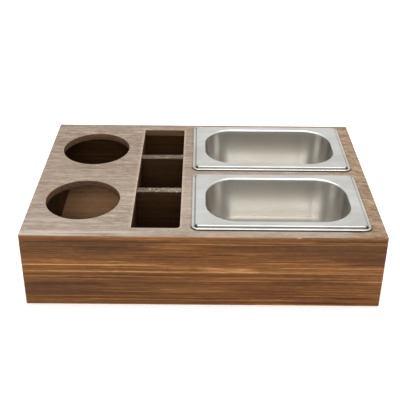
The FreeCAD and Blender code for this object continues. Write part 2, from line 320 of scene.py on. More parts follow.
def chipped_top(spot, from_top):
    """How much a chipped board has lost at a spot, and how bare it is there, both from 0 to 1."""
    coarse, fine = CHIP_RATES
    bite = noise.noise(spot * coarse) + 0.8 * noise.noise(spot * fine)
    lost = smoothstep(0.1, 0.9, bite + 0.3) * (1 - smoothstep(0, CHIPPED_DOWN_TO, from_top))
    bare = (1 - smoothstep(0, BARE_DOWN_TO, from_top)) * smoothstep(0.3, 0.75, bite)
    return lost, bare


def board(name, grain_axis, seed, streaks=(), inward=None, ease=BOARD_EASE, rough_top=0.0):
    """A board in place of a CAD node: eased and slightly worn edges, with the grain in low relief.

    streaks are laid along its grain. inward is the direction of its hidden face, which is darkened with
    painted shade, and rough_top is how deep its top is chipped. Each point keeps its figure, its wear, and
    its shade for the material: torch char, and painted shade on the hidden face.
    """
    low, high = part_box(name)
    centre, half = (low + high) / 2, (high - low) / 2
    steps = [PLAIN_STEP] * 3
    if streaks:
        steps[2] = STREAK_STEP
    steps[grain_axis] = GRAIN_STEP_ALONG
    if rough_top:
        steps = [ROUGH_STEP] * 3
    bm = bmesh.new()
    vertices = board_surface(bm, [stops_along(half[a], ease, steps[a]) for a in range(3)])
    values = {"figure": {}, "wear_and_painted_highlight": {}, "char_and_painted_shade": {}}
    for vertex in vertices:
        inner = Vector([min(max(vertex.co[a], ease - half[a]), half[a] - ease) for a in range(3)])
        outward = (vertex.co - inner).normalized()
        spot = inner + centre
        worn = edge_wear(outward, spot, seed)
        tone = streak_tone(streaks, spot[grain_axis], spot.z, seed) if streaks else 0.0
        depth = EDGE_WEAR * worn + wood_relief(spot, grain_axis, seed) - STREAK_RELIEF * min(tone, 0.5)
        bare = EDGE_BARE * worn
        if rough_top:
            lost, chip_bare = chipped_top(spot, half.z - vertex.co.z)
            depth += rough_top * lost
            bare = max(bare, chip_bare)
        vertex.co = inner + outward * (ease - depth) + centre
        hidden = inward and outward.dot(Vector(inward)) > 0.7
        values["figure"][vertex] = 0.5 + (HIDDEN_FIGURE if hidden else FIGURE) * tone
        values["wear_and_painted_highlight"][vertex] = bare
        # painted shade on the hidden face; elsewhere, how far the torch has darkened the spot
        values["char_and_painted_shade"][vertex] = HIDDEN_SHADE if hidden else smoke(spot)
    return finish_wood(name, bm, values)


# -------------------------------- outlines
def rounded_outline(half_x, half_y, radii, steps):
    """Points anticlockwise round a rounded rectangle about the origin.

    radii run from the front left corner anticlockwise. steps is (per corner, along X, along Y).
    """
    per_corner, along_x, along_y = steps
    corners = ((-1, -1, 180), (1, -1, 270), (1, 1, 0), (-1, 1, 90))
    arcs = []
    for (sx, sy, start), radius in zip(corners, radii):
        centre = Vector((sx * (half_x - radius), sy * (half_y - radius)))
        arc = []
        for i in range(per_corner + 1):
            angle = math.radians(start + 90 * i / per_corner)
            arc.append(centre + radius * Vector((math.cos(angle), math.sin(angle))))
        arcs.append(arc)
    points = []
    for i, arc in enumerate(arcs):
        following = arcs[(i + 1) % 4][0]
        between = along_x if i % 2 == 0 else along_y
        points += arc
        points += [arc[-1].lerp(following, j / between) for j in range(1, between)]
    return points


def rectangle_outline(x0, x1, y0, y1, radii, per_corner=6):
    """A function from an outward offset to the points round a rounded rectangle."""
    centre = Vector(((x0 + x1) / 2, (y0 + y1) / 2))
    half_x, half_y = (x1 - x0) / 2, (y1 - y0) / 2
    steps = (per_corner, round(2 * half_x / OUTLINE_STEP), round(2 * half_y / OUTLINE_STEP))

    def outline(offset):
        grown = [max(radius + offset, 0.1 * MM) for radius in radii]
        points = rounded_outline(half_x + offset, half_y + offset, grown, steps)
        return [point + centre for point in points]

    return outline


def circle_outline(x, y, radius):
    """A function from an outward offset to the points round a circle."""
    count = round(2 * math.pi * radius / OUTLINE_STEP)

    def outline(offset):
        turns = [2 * math.pi * i / count for i in range(count)]
        return [Vector((x, y)) + (radius + offset) * Vector((math.cos(t), math.sin(t))) for t in turns]

    return outline


def inside(outline, points):
    """Which of the points lie inside a closed outline."""
    corners = np.array(outline)
    x, y = points[:, :1], points[:, 1:]
    x0, y0 = corners[:, 0], corners[:, 1]
    x1, y1 = np.roll(x0, -1), np.roll(y0, -1)
    spans = (y0 > y) != (y1 > y)
    rise = np.where(y1 == y0, 1.0, y1 - y0)
    crossings = spans & (x < x0 + (y - y0) * (x1 - x0) / rise)
    return crossings.sum(axis=1) % 2 == 1


# -------------------------------- top panel
SAME_PLACE = 1e-8  # points closer than this would be merged
SURFACE_CLEARANCE = 1.2 * MM  # from the edges to the nearest point of the top face
LIP_CLEARANCE = 0.6 * MM  # from the painted shadow against a pan's lip to the nearest such point outside it
UNDER_LIP = 1.5 * MM  # from a pan's edge to the nearest such point that it hides
LIP_SHADE_WIDTH = 1.7 * MM  # how far the painted shadow against a pan's lip spreads on the wood
LIP_COVER = 0.6 * MM  # and under the lip
LIP_SHADE_MIDDLE = 0.45 * LIP_SHADE_WIDTH
# painted shadow of each pan's lip on the wood: dark in front of the pan, faint elsewhere
LIP_SHADE_FRONT, LIP_SHADE_ELSEWHERE = 0.9, 0.15
CHIP_X = 92.0 * MM  # the small chip on the top panel's front edge
CHIP_WIDTH = 2.4 * MM
CHIP_HEIGHT = 2.2 * MM
CHIP_DEPTH = 1.0 * MM
CHIP_RATE = 900  # how fast the chip's depth changes, per metre
CHIP_BARE = 0.6  # how bare it is where it is 1 mm deep
EASED_BARE = 0.12  # how bare the outer edges are, and the walls of the openings
RIM_WEAR_HIGHLIGHT_NEAR, RIM_WEAR_HIGHLIGHT_FAR = 0.95, 0.3  # how bare the openings' eased rims are, nearer and farther from the user: wear, and a painted highlight that is strongest on the near rims
SLOT_TOP_WEAR_HIGHLIGHT = 0.4  # and at the top of the slot's rim, where hands reach in; there it is also a painted highlight
SLOT_FAR_EDGE = 1.5 * MM  # the slot's rim is worn and carries a painted highlight all round but for this much at its rear
EDGE_SHADE = 0.12  # how far the torch has darkened the top panel's outer edges
WALL_SHADE = 0.6  # painted shade that darkens the walls of its openings


def edge_profile(ease_top, ease_bottom, low, high):
    """(how far the edge is drawn back, height) from the top face down to the bottom face."""
    profile = []
    for angle in (0, 22.5, 45, 67.5, 90):
        a = math.radians(angle)
        profile.append((ease_top * (1 - math.sin(a)), high - ease_top * (1 - math.cos(a))))
    span = (high - ease_top) - (low + ease_bottom)
    stops = round(span / STREAK_STEP)
    profile += [(0.0, high - ease_top - span * i / stops) for i in range(1, stops)]
    for angle in (0, 45, 90):
        a = math.radians(angle)
        profile.append((ease_bottom * (1 - math.cos(a)), low + ease_bottom * (1 - math.sin(a))))
    return profile


def join_rings(bm, rings):
    for upper, lower in zip(rings, rings[1:]):
        count = len(upper)
        for i in range(count):
            j = (i + 1) % count
            bm.faces.new((upper[i], upper[j], lower[j], lower[i]))


def fill_between(bm, loops, height, extra=()):
    """Triangulates the flat area inside the first loop of vertices and outside the others."""
    points = [vertex.co.xy for loop in loops for vertex in loop]
    vertices = [vertex for loop in loops for vertex in loop]
    edges, is_kept, start = [], {}, 0
    for loop in loops:
        count = len(loop)
        for i in range(count):
            a, b = start + i, start + (i + 1) % count
            edges.append((a, b))
            is_kept[vertices[a], vertices[b]] = loop is loops[0]
            is_kept[vertices[b], vertices[a]] = loop is not loops[0]
        start += count
    for x, y in extra:
        points.append(Vector((x, y)))
        vertices.append(bm.verts.new((x, y, height)))
    _, _, triangles, origins, _, _ = delaunay_2d_cdt(points, edges, [], 0, SAME_PLACE)
    used = [[vertices[origins[i][0]] for i in triangle] for triangle in triangles]
    centroids = np.array([sum((v.co.xy for v in corners), Vector((0, 0))) / 3 for corners in used])
    filled = inside([vertex.co.xy for vertex in loops[0]], centroids)
    for loop in loops[1:]:
        filled &= ~inside([vertex.co.xy for vertex in loop], centroids)
    for corners, is_filled in zip(used, filled):
        # A sliver along a straight outline is judged by the side of the outline it lies on.
        sides = zip(corners, corners[1:] + corners[:1])
        on_loop = [is_kept[side] for side in sides if side in is_kept]
        if on_loop[0] if on_loop else is_filled:
            bm.faces.new(corners)


def panel_openings():
    """The outlines of the cup holes, the slot and the two pan cut-outs."""
    outlines = []
    for mount in CUP_HOLES:
        x, y, _ = mount["pos_m"]
        outlines.append(circle_outline(x, y, mount["dims"]["r_mm"] * MM))
    slot_front = TOP_LOW.y + SLOT_FROM_FRONT
    radii = (SLOT_CORNER, SLOT_ROUND_CORNER, SLOT_CORNER, SLOT_CORNER)
    outlines.append(rectangle_outline(SLOT_LEFT, SLOT_RIGHT, slot_front, slot_front + SLOT_LENGTH, radii))
    for node in PANS:
        low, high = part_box(node)
        sides = (low.x + CUTOUT_INSET, high.x - CUTOUT_INSET, low.y + CUTOUT_INSET, high.y - CUTOUT_INSET)
        outlines.append(rectangle_outline(*sides, (CUTOUT_CORNER,) * 4))
    return outlines


def lip_outlines():
    """The outlines of the two pans' lips, where they rest on the wood."""
    outlines = []
    for node in PANS:
        low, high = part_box(node)
        outlines.append(rectangle_outline(low.x, high.x, low.y, high.y, (PAN_LIP_CORNER,) * 4))
    return outlines


def surface_points(outer, holes, clearance):
    """Points over the top face, close together across the grain, clear of every edge.

    Three rings round each pan's lip bound the painted shadow there, and no other point lies between them.
    """
    xs = np.arange(TOP_LOW.x, TOP_HIGH.x, GRAIN_STEP_ALONG)
    ys = np.arange(TOP_LOW.y, TOP_HIGH.y, GRAIN_STEP_ACROSS)
    grid = np.array([(x + (0.5 * GRAIN_STEP_ALONG if i % 2 else 0), y) for i, y in enumerate(ys) for x in xs])
    keep = inside(outer(-clearance), grid)
    for hole in holes:
        keep &= ~inside(hole(clearance), grid)
    rings = []
    for lip in lip_outlines():
        keep &= inside(lip(-UNDER_LIP), grid) | ~inside(lip(LIP_SHADE_WIDTH + LIP_CLEARANCE), grid)
        rings += lip(-LIP_COVER) + lip(LIP_SHADE_WIDTH) + lip(LIP_SHADE_MIDDLE)
    return np.vstack([grid[keep], np.array(rings)])


def chip_depth(point):
    """How much is chipped away at a point of the top panel's front top edge."""
    along = abs(point.x - CHIP_X) / CHIP_WIDTH
    from_edge = math.hypot(point.y - TOP_LOW.y, point.z - TOP_HIGH.z) / CHIP_HEIGHT
    ragged = 0.75 + 0.5 * noise.noise(point * CHIP_RATE)
    return CHIP_DEPTH * ragged * (1 - smoothstep(0.3, 1.0, along)) * (1 - smoothstep(0.2, 1.0, from_edge))


def outer_marks(rings):
    """The wear and the shade of the vertices down the panel's outer edge, from its rings."""
    wear_and_painted_highlight = {vertex: EASED_BARE for ring in rings[1:4] for vertex in ring}
    char_and_painted_shade = {vertex: EDGE_SHADE for ring in rings[3:] for vertex in ring}
    return wear_and_painted_highlight, char_and_painted_shade


def opening_marks(rings, is_slot):
    """The wear with its painted highlight on the rim, and the painted shade, of the vertices down an
    opening's wall, from its rings.
    """
    ys = [vertex.co.y for vertex in rings[0]]
    far = max(ys) - SLOT_FAR_EDGE if is_slot else (min(ys) + max(ys)) / 2
    wear_and_painted_highlight = {vertex: EASED_BARE for ring in rings[4:] for vertex in ring}
    char_and_painted_shade = {vertex: WALL_SHADE for vertex in wear_and_painted_highlight}
    for ring in rings[1:4]:
        wear_and_painted_highlight.update((vertex, RIM_WEAR_HIGHLIGHT_NEAR if vertex.co.y < far else RIM_WEAR_HIGHLIGHT_FAR) for vertex in ring)
    if is_slot:
        wear_and_painted_highlight.update((vertex, SLOT_TOP_WEAR_HIGHLIGHT) for vertex in rings[0] if vertex.co.y < far)
    return wear_and_painted_highlight, char_and_painted_shade


def lip_painted_shadow(bm):
    """The painted shadow on the top face's vertices under the pans' lips and close to them."""
    flat = [vertex for vertex in bm.verts if vertex.co.z > TOP_HIGH.z - 1e-6]
    spots = np.array([vertex.co.xy for vertex in flat])
    char_and_painted_shade = {}
    for lip in lip_outlines():
        front = min(point.y for point in lip(0)) + PAN_LIP_CORNER
        for vertex, is_near in zip(flat, inside(lip(0.6 * LIP_SHADE_WIDTH), spots)):
            if is_near:
                char_and_painted_shade[vertex] = LIP_SHADE_FRONT if vertex.co.y < front else LIP_SHADE_ELSEWHERE
    return char_and_painted_shade


def top_panel(seed):
    """The board with the openings: eased rims, the grain in low relief on top, and a chipped front edge."""
    bm = bmesh.new()
    outer = rectangle_outline(TOP_LOW.x, TOP_HIGH.x, TOP_LOW.y, TOP_HIGH.y, (PANEL_CORNER,) * 4, 4)
    holes = panel_openings()
    slot = holes[len(CUP_HOLES)]
    tops, bottoms, wear_and_painted_highlight, char_and_painted_shade = [], [], {}, {}
    for outline in [outer] + holes:
        side, ease = (-1, PANEL_EASE) if outline is outer else (1, RIM_EASE)
        rings = []
        for drawn_back, z in edge_profile(ease, JOINT_EASE, TOP_LOW.z, TOP_HIGH.z):
            rings.append([bm.verts.new((x, y, z)) for x, y in outline(side * drawn_back)])
        join_rings(bm, rings)
        marks = outer_marks(rings) if outline is outer else opening_marks(rings, outline is slot)
        wear_and_painted_highlight.update(marks[0])
        char_and_painted_shade.update(marks[1])
        tops.append(rings[0])
        bottoms.append(rings[-1])
    fill_between(bm, tops, TOP_HIGH.z, surface_points(outer, holes, SURFACE_CLEARANCE))
    fill_between(bm, bottoms, TOP_LOW.z)
    char_and_painted_shade.update(lip_painted_shadow(bm))
    values = {"figure": {}, "wear_and_painted_highlight": {}, "char_and_painted_shade": {}}
    middle_z = (TOP_LOW.z + TOP_HIGH.z) / 2
    for vertex in bm.verts:
        point = vertex.co.copy()
        chip = chip_depth(point)
        if point.z > middle_z:
            share = (point.z - middle_z) / (TOP_HIGH.z - middle_z)
            vertex.co.z -= wood_relief(point, X_GRAIN, seed) * share + chip * 0.8
        vertex.co.y += chip
        tone = streak_tone(TOP_EDGE_STREAKS, point.x, point.z, seed)
        values["figure"][vertex] = 0.5 + FIGURE * tone
        values["wear_and_painted_highlight"][vertex] = min(1.0, wear_and_painted_highlight.get(vertex, 0.0) + CHIP_BARE * chip / MM)
        values["char_and_painted_shade"][vertex] = char_and_painted_shade.get(vertex, 0.0)
    return finish_wood("top_panel", bm, values)


# -------------------------------- pans
PAN_STEPS = (14, 30, 16)  # how many stretches a ring has round a corner, along X and along Y
RIM_ARC_POINTS, RIM_SPACING = 4, 0.5 * MM  # down the section: points round a bend, and between bends
BOWL_ARC_POINTS, BOWL_SPACING = 9, 5 * MM
FLANGE_RINGS, FLOOR_RINGS, UNDER_FLOOR_RINGS = 3, 5, 3
PAN_SMOOTH_BELOW = 40.0  # degrees
RIM_SECTION = [  # (inset from the outer edge, height above the wood, rounding) in mm, from under the lip
    (1.4, 0.0, 0.0), (0.0, 0.0, 0.45), (0.0, 1.4, 0.85), (2.5, 1.4, 0.7), (2.95, 0.7, 0.2), (4.1, 3.2, 0.8),
    (5.6, 3.2, 0.0),
]
VALLEY_INSET = 2.95 * MM  # the crease between the hemmed lip and the step
PAN_STEP_UNDER = (2.8 * MM, 4.9 * MM)  # insets of the step's foot and head, from below

# Painted shade on the pans, from 0 to 1, most at the front
CREASE_SHADE_FRONT, CREASE_SHADE = 0.85, 0.4
CREASE_OFFSET, CREASE_REACH = 0.45 * MM, (0.15 * MM, 0.5 * MM)  # its middle, inwards of the valley
POCKET_OFFSET, POCKET_REACH = 0.5 * MM, (1.0 * MM, 1.9 * MM)  # the same, where it turns a corner
POCKET_SIZE = (4.5 * MM, 7.5 * MM)  # and how far along both sides from there it fades
LIP_EDGE = 0.6 * MM  # the lip's outer edge, as an inset
# painted shadow low on the lip's outer edge: its strength in front and elsewhere, and the heights over which
# it fades
HEM_SHADOW_FRONT, HEM_SHADOW, HEM_SHADOW_HEIGHTS = 0.7, 0.3, (0.7 * MM, 1.2 * MM)


def add_run(points, end, spacing):
    """Adds evenly spaced points from the last point to end, both in a section."""
    start = points[-1]
    count = max(1, math.ceil((end - start).length / spacing))
    points += [start.lerp(end, i / count) for i in range(1, count + 1)]


def rounded_section(corners, arc_points, spacing):
    """Points along a section line whose corners, given as (across, up, radius), are rounded."""
    points = [Vector(corners[0][:2])]
    for before, (across, up, radius), after in zip(corners, corners[1:], corners[2:]):
        corner = Vector((across, up))
        back = (Vector(before[:2]) - corner).normalized()
        onward = (Vector(after[:2]) - corner).normalized()
        half_angle = back.angle(onward) / 2
        reach = radius / math.tan(half_angle)
        centre = corner + (back + onward).normalized() * radius / math.sin(half_angle)
        start, end = corner + back * reach, corner + onward * reach
        add_run(points, start, spacing)
        for i in range(1, arc_points + 1):
            direction = (start - centre).lerp(end - centre, i / arc_points).normalized()
            points.append(centre + direction * radius)
    add_run(points, Vector(corners[-1][:2]), spacing)
    return points


def rim_ring(size, inset, z):
    """A ring that follows the pan's outer edge."""
    radius = max(PAN_LIP_CORNER - inset, 1.0 * MM)
    return rounded_outline(size.x / 2 - inset, size.y / 2 - inset, (radius,) * 4, PAN_STEPS), z


def bowl_ring(offset, z):
    """A ring that follows the bowl's opening, offset outwards."""
    half_x, half_y = PAN_OPENING[0] / 2 + offset, PAN_OPENING[1] / 2 + offset
    return rounded_outline(half_x, half_y, (PAN_OPENING_CORNER + offset,) * 4, PAN_STEPS), z


def blend_rings(ring_a, ring_b, count):
    """Rings evenly between two rings, neither end included."""
    (points_a, z_a), (points_b, z_b) = ring_a, ring_b
    rings = []
    for i in range(1, count + 1):
        t = i / (count + 1)
        rings.append(([a.lerp(b, t) for a, b in zip(points_a, points_b)], z_a + (z_b - z_a) * t))
    return rings


def bowl_rings(grow, top, floor, mouth_fillet, floor_fillet):
    """Over the mouth, down the wall and onto the floor, for a bowl grown outwards by grow."""
    corners = [
        (grow + 2 * mouth_fillet, top, 0.0),
        (grow, top, mouth_fillet),
        (grow - PAN_DRAFT, floor, floor_fillet),
        (grow - PAN_DRAFT - 1.2 * floor_fillet, floor, 0.0),
    ]
    return [bowl_ring(offset, z) for offset, z in rounded_section(corners, BOWL_ARC_POINTS, BOWL_SPACING)]


def floor_rings(last_ring, count):
    """Rings that close in over the floor, from its edge towards the middle line."""
    points, z = last_ring
    reach = (PAN_OPENING[0] - PAN_OPENING[1]) / 2
    spine = [Vector((max(-reach, min(reach, point.x)), 0)) for point in points]
    rings = []
    for i in range(1, count + 1):
        t = i / (count + 1)
        rings.append(([a.lerp(b, t) for a, b in zip(points, spine)], z))
    return rings


def pan(node, seed):
    """A food pan: one pressed sheet with a hemmed lip, a stepped flange and a drafted bowl."""
    low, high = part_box(node)
    centre, size = (low + high) / 2, high - low
    floor_under = PAN_FLANGE_TOP - size.z
    section = [tuple(value * MM for value in corner) for corner in RIM_SECTION]
    upper = [rim_ring(size, inset, z) for inset, z in rounded_section(section, RIM_ARC_POINTS, RIM_SPACING)]
    bowl = bowl_rings(0, PAN_FLANGE_TOP, floor_under + PAN_SHEET, PAN_MOUTH_FILLET, PAN_FLOOR_FILLET)
    upper += blend_rings(upper[-1], bowl[0], FLANGE_RINGS) + bowl + floor_rings(bowl[-1], FLOOR_RINGS)
    ceiling = PAN_FLANGE_TOP - PAN_SHEET
    under_bowl = bowl_rings(
        PAN_SHEET, ceiling, floor_under, PAN_MOUTH_FILLET - PAN_SHEET, PAN_FLOOR_FILLET + PAN_SHEET
    )
    lower = [rim_ring(size, PAN_STEP_UNDER[0], 0), rim_ring(size, PAN_STEP_UNDER[1], ceiling)]
    lower += blend_rings(lower[-1], under_bowl[0], FLANGE_RINGS) + under_bowl
    lower += floor_rings(under_bowl[-1], UNDER_FLOOR_RINGS)
    bm = bmesh.new()
    wood_z = high.z - PAN_FLANGE_TOP
    made = []
    for points, z in list(reversed(upper)) + lower:
        made.append([bm.verts.new((p.x + centre.x, p.y + centre.y, z + wood_z)) for p in points])
    join_rings(bm, made)
    for ring in (made[0], made[-1]):
        bm.faces.new(ring)
    # each vertex's painted shade, for the steel's colour
    painted_steel_shade = []
    for vertex in bm.verts:
        height = vertex.co.z - wood_z
        painted_steel_shade.append(pan_painted_shade(vertex.co - centre, height, size))
        shift = noise.noise(vertex.co * PAN_DENT_RATE + Vector((seed, 0, 0)))
        pressed = smoothstep(PAN_LIP_THICKNESS, PAN_FLANGE_TOP, height)
        vertex.co.z += PAN_DENT * (shift - 1) * 0.5 * pressed
    piece = finish_mesh(node + "_steel", bm, PAN_SMOOTH_BELOW)
    set_point_value(piece, "painted_steel_shade", painted_steel_shade)
    return piece


def pan_painted_shade(offset, height, size):
    """Painted shade in the crease inside the lip, most at the corners, and a painted shadow low on the lip's
    outer edge.
    """
    if height < 0:
        return 0.0
    inset_x, inset_y = size.x / 2 - abs(offset.x), size.y / 2 - abs(offset.y)
    from_corner = (PAN_LIP_CORNER - inset_x, PAN_LIP_CORNER - inset_y)
    if min(from_corner) > 0:
        inset = PAN_LIP_CORNER - math.hypot(*from_corner)
    else:
        inset = min(inset_x, inset_y)
    is_front = inset_y < inset_x and offset.y < 0
    if inset <= LIP_EDGE:
        return (HEM_SHADOW_FRONT if is_front else HEM_SHADOW) * (1 - smoothstep(*HEM_SHADOW_HEIGHTS, height))
    crease = 1 - smoothstep(*CREASE_REACH, abs(inset - VALLEY_INSET - CREASE_OFFSET))
    corner = 1 - smoothstep(*POCKET_SIZE, max(inset_x, inset_y))
    pocket = corner * (1 - smoothstep(*POCKET_REACH, abs(inset - VALLEY_INSET - POCKET_OFFSET)))
    return max((CREASE_SHADE_FRONT if is_front else CREASE_SHADE) * crease, pocket)


# -------------------------------- materials
class Graph:
    """Adds shader nodes to a material. Each call returns an output socket."""

    def __init__(self, name):
        self.material = bpy.data.materials.new(name)
        self.material.use_nodes = True
        self.tree = self.material.node_tree
        self.shader = self.tree.nodes["Principled BSDF"]

    def node(self, kind, inputs=(), **settings):
        made = self.tree.nodes.new(kind)
        for key, value in settings.items():
            setattr(made, key, value)
        for key, value in dict(inputs).items():
            self.feed(made.inputs[key], value)
        return made

    def feed(self, socket, value):
        if isinstance(value, bpy.types.NodeSocket):
            self.tree.links.new(value, socket)
        else:
            socket.default_value = value

    def math(self, operation, *values, clamp=False):
        made = self.node("ShaderNodeMath", enumerate(values), operation=operation, use_clamp=clamp)
        return made.outputs[0]

    def position(self):
        """Object coordinates as three sockets, in metres."""
        coordinates = self.node("ShaderNodeTexCoord").outputs["Object"]
        split = self.node("ShaderNodeSeparateXYZ", {0: coordinates})
        return list(split.outputs)

    def scaled(self, axes, scales, offset=0.0):
        """Coordinates multiplied axis by axis, moved along by an offset."""
        parts = [self.math("MULTIPLY_ADD", socket, scale, offset) for socket, scale in zip(axes, scales)]
        return self.node("ShaderNodeCombineXYZ", enumerate(parts)).outputs[0]

    def noise(self, vector, detail=2.0, roughness=0.5):
        inputs = {"Vector": vector, "Scale": 1.0, "Detail": detail, "Roughness": roughness}
        return self.node("ShaderNodeTexNoise", inputs).outputs["Fac"]

    def attribute(self, name):
        return self.node("ShaderNodeAttribute", attribute_name=name).outputs["Fac"]

    def range(self, value, low, high, to_low=0.0, to_high=1.0):
        inputs = {"Value": value, "From Min": low, "From Max": high, "To Min": to_low, "To Max": to_high}
        made = self.node("ShaderNodeMapRange", inputs, interpolation_type="SMOOTHSTEP")
        return made.outputs["Result"]

    def ramp(self, factor, stops):
        """A colour ramp through (position, colour) stops."""
        made = self.node("ShaderNodeValToRGB", {"Fac": factor})
        elements = made.color_ramp.elements
        while len(elements) < len(stops):
            elements.new(0.5)
        for element, (place_on_ramp, colour) in zip(elements, stops):
            element.position = place_on_ramp
            element.color = (*colour, 1.0)
        return made.outputs["Color"]

    def mix(self, factor, a, b):
        made = self.node("ShaderNodeMix", data_type="RGBA")
        for socket, value in ((made.inputs[0], factor), (made.inputs[6], a), (made.inputs[7], b)):
            if isinstance(value, tuple):
                value = (*value, 1.0)
            self.feed(socket, value)
        return made.outputs[2]

    def bump(self, height, distance, normal=None):
        inputs = {"Height": height, "Distance": distance, "Strength": 1.0}
        if normal is not None:
            inputs["Normal"] = normal
        return self.node("ShaderNodeBump", inputs).outputs["Normal"]


def srgb(red, green, blue):
    """A colour given as 0 to 255 display values, as linear numbers."""
    linear = []
    for value in (red, green, blue):
        v = value / 255
        linear.append(v / 12.92 if v <= 0.04045 else ((v + 0.055) / 1.055) ** 2.4)
    return tuple(linear)


# Stains as (place on the ramp, colour), from the darkest streaks to the lightest
BROWN = [
    (0.1, srgb(60, 31, 9)), (0.36, srgb(89, 51, 18)), (0.5, srgb(105, 63, 25)), (0.66, srgb(129, 84, 42)),
    (0.95, srgb(184, 132, 80)),
]
# for faces that look up: partly the top's own weathered grey, partly a painted sheen, so it is lighter and
# greyer than the sides
GREY = [
    (0.12, srgb(100, 84, 70)), (0.36, srgb(124, 106, 91)), (0.5, srgb(133, 116, 101)),
    (0.64, srgb(143, 127, 112)), (0.9, srgb(172, 158, 144)),
]
TAN = [
    (0.15, srgb(84, 64, 46)), (0.38, srgb(118, 95, 73)), (0.5, srgb(134, 110, 87)),
    (0.64, srgb(146, 123, 100)), (0.9, srgb(172, 150, 126)),
]
WORN_GREY = [
    (0.15, srgb(36, 28, 20)), (0.38, srgb(66, 54, 43)), (0.5, srgb(84, 70, 57)), (0.64, srgb(104, 88, 74)),
    (0.9, srgb(156, 142, 127)),
]
DARK = [(0.15, srgb(38, 23, 10)), (0.4, srgb(52, 33, 16)), (0.6, srgb(64, 42, 22)), (0.9, srgb(87, 60, 35))]
FLOOR = [
    (0.15, srgb(92, 64, 42)), (0.45, srgb(122, 88, 60)), (0.65, srgb(140, 103, 72)),
    (0.9, srgb(164, 126, 90)),
]
PALE_WOOD = srgb(190, 172, 152)  # where the stain has worn off, and the painted highlight on the openings' rims

# The painted pale sheen on the top face, lighter towards the front: its colour, its most, and how fast its
# patches change, per metre
TOP_SHEEN, TOP_SHEEN_MOST, TOP_SHEEN_RATES = srgb(168, 156, 143), 0.6, (20.0, 45.0, 45.0)
TOP_SHEEN_FROM_BACK = (100 * MM, -70 * MM)
TOP_SHEEN_FROM_LEFT, TOP_SHEEN_LEFT_SHARE = (-70 * MM, 10 * MM), 0.4  # fainter on the left
# a stronger painted sheen, in streaks, at the front left corner
CORNER_SHEEN, CORNER_SHEEN_MOST, CORNER_SHEEN_RATES = srgb(184, 176, 168), 0.6, (14.0, 260.0, 260.0)
CORNER_SHEEN_FROM_BACK, CORNER_SHEEN_FROM_RIGHT = (-84 * MM, -104 * MM), (-20 * MM, -110 * MM)

# The grain's layers, as how fast each changes along and across the grain, per metre, and their weights
SIDE_GRAIN = {"broad": (2.0, 38.0), "bands": (3.0, 210.0), "streaks": (5.0, 640.0), "fibres": (110.0, 1800.0)}
TOP_GRAIN = {
    "broad": (8.0, 45.0), "bands": (30.0, 250.0), "streaks": (120.0, 760.0), "fibres": (520.0, 1500.0),
}
SIDE_WEIGHTS = {"broad": 0.4, "bands": 0.4, "streaks": 0.6, "fibres": 0.5}
TOP_WEIGHTS = {"broad": 0.5, "bands": 0.8, "streaks": 1.1, "fibres": 0.8}
GRAIN_SWAY, SWAY_RATES = 6 * MM, (5.0, 12.0, 12.0)  # how far the grain wanders, and how fast, per metre
KNOT_SIDE = 128 * MM  # beyond this, towards the right end, the top's grain curves and is browner
KNOT_FADE = 30 * MM
GRAIN_BEND = 2.5  # how sharply it curves, per metre
STREAK_BUMP, FIBRE_BUMP = 0.12 * MM, 0.05 * MM
WOOD_ROUGHNESS, WOOD_SPECULAR = (0.5, 0.68), 0.18
LOOKS_UP = (0.6, 0.9)  # the upward part of the normal over which a face takes the top's colour


def grain_layers(graph, grain_axis, seed, scales, bend_from=None):
    """Noise drawn out along the grain, by name, one layer for each (along, across) pair of scales.

    Past bend_from, a distance along the grain, the grain curves away as it does beside a knot.
    """
    axes = graph.position()
    along = axes[grain_axis]
    across = [axis for i, axis in enumerate(axes) if i != grain_axis]
    sway = graph.noise(graph.scaled([along, *across], SWAY_RATES, seed))
    lean = graph.math("MULTIPLY", graph.math("SUBTRACT", sway, 0.5), GRAIN_SWAY)
    if bend_from is not None:
        past = graph.math("MAXIMUM", graph.math("SUBTRACT", along, bend_from), 0.0)
        bend = graph.math("MULTIPLY", graph.math("MULTIPLY", past, past), GRAIN_BEND)
        lean = graph.math("ADD", lean, bend)
    line = [along] + [graph.math("ADD", axis, lean) for axis in across]
    layers = {}
    for name, (rate_along, rate_across) in scales.items():
        stretched = graph.scaled(line, (rate_along, rate_across, rate_across), seed)
        layers[name] = graph.noise(stretched, roughness=0.55)
    return layers


def weigh(graph, parts):
    """0.5 plus the sum of (socket, weight) pairs, each socket counted from its middle value, 0.5."""
    total = None
    for socket, weight in parts:
        part = graph.math("MULTIPLY", graph.math("SUBTRACT", socket, 0.5), weight)
        total = part if total is None else graph.math("ADD", total, part)
    return graph.math("ADD", total, 0.5, clamp=True)


def with_painted_sheen(graph, colour, seed):
    """The top's colour with a painted pale sheen, most at the front left."""
    x, y, _ = axes = graph.position()
    patches = graph.range(graph.noise(graph.scaled(axes, TOP_SHEEN_RATES, seed)), 0.3, 0.7, 0.3, 1.0)
    patches = graph.math("MULTIPLY", patches, graph.range(x, *TOP_SHEEN_FROM_LEFT, TOP_SHEEN_LEFT_SHARE, 1.0))
    sheen = graph.math("MULTIPLY", graph.range(y, *TOP_SHEEN_FROM_BACK, 0.0, TOP_SHEEN_MOST), patches)
    colour = graph.mix(sheen, colour, TOP_SHEEN)
    streaks = graph.range(graph.noise(graph.scaled(axes, CORNER_SHEEN_RATES, seed)), 0.45, 0.65)
    corner = graph.math("MULTIPLY", graph.range(y, *CORNER_SHEEN_FROM_BACK), graph.range(x, *CORNER_SHEEN_FROM_RIGHT))
    corner_sheen = graph.math("MULTIPLY", corner, graph.math("MULTIPLY", streaks, CORNER_SHEEN_MOST))
    return graph.mix(corner_sheen, colour, CORNER_SHEEN)


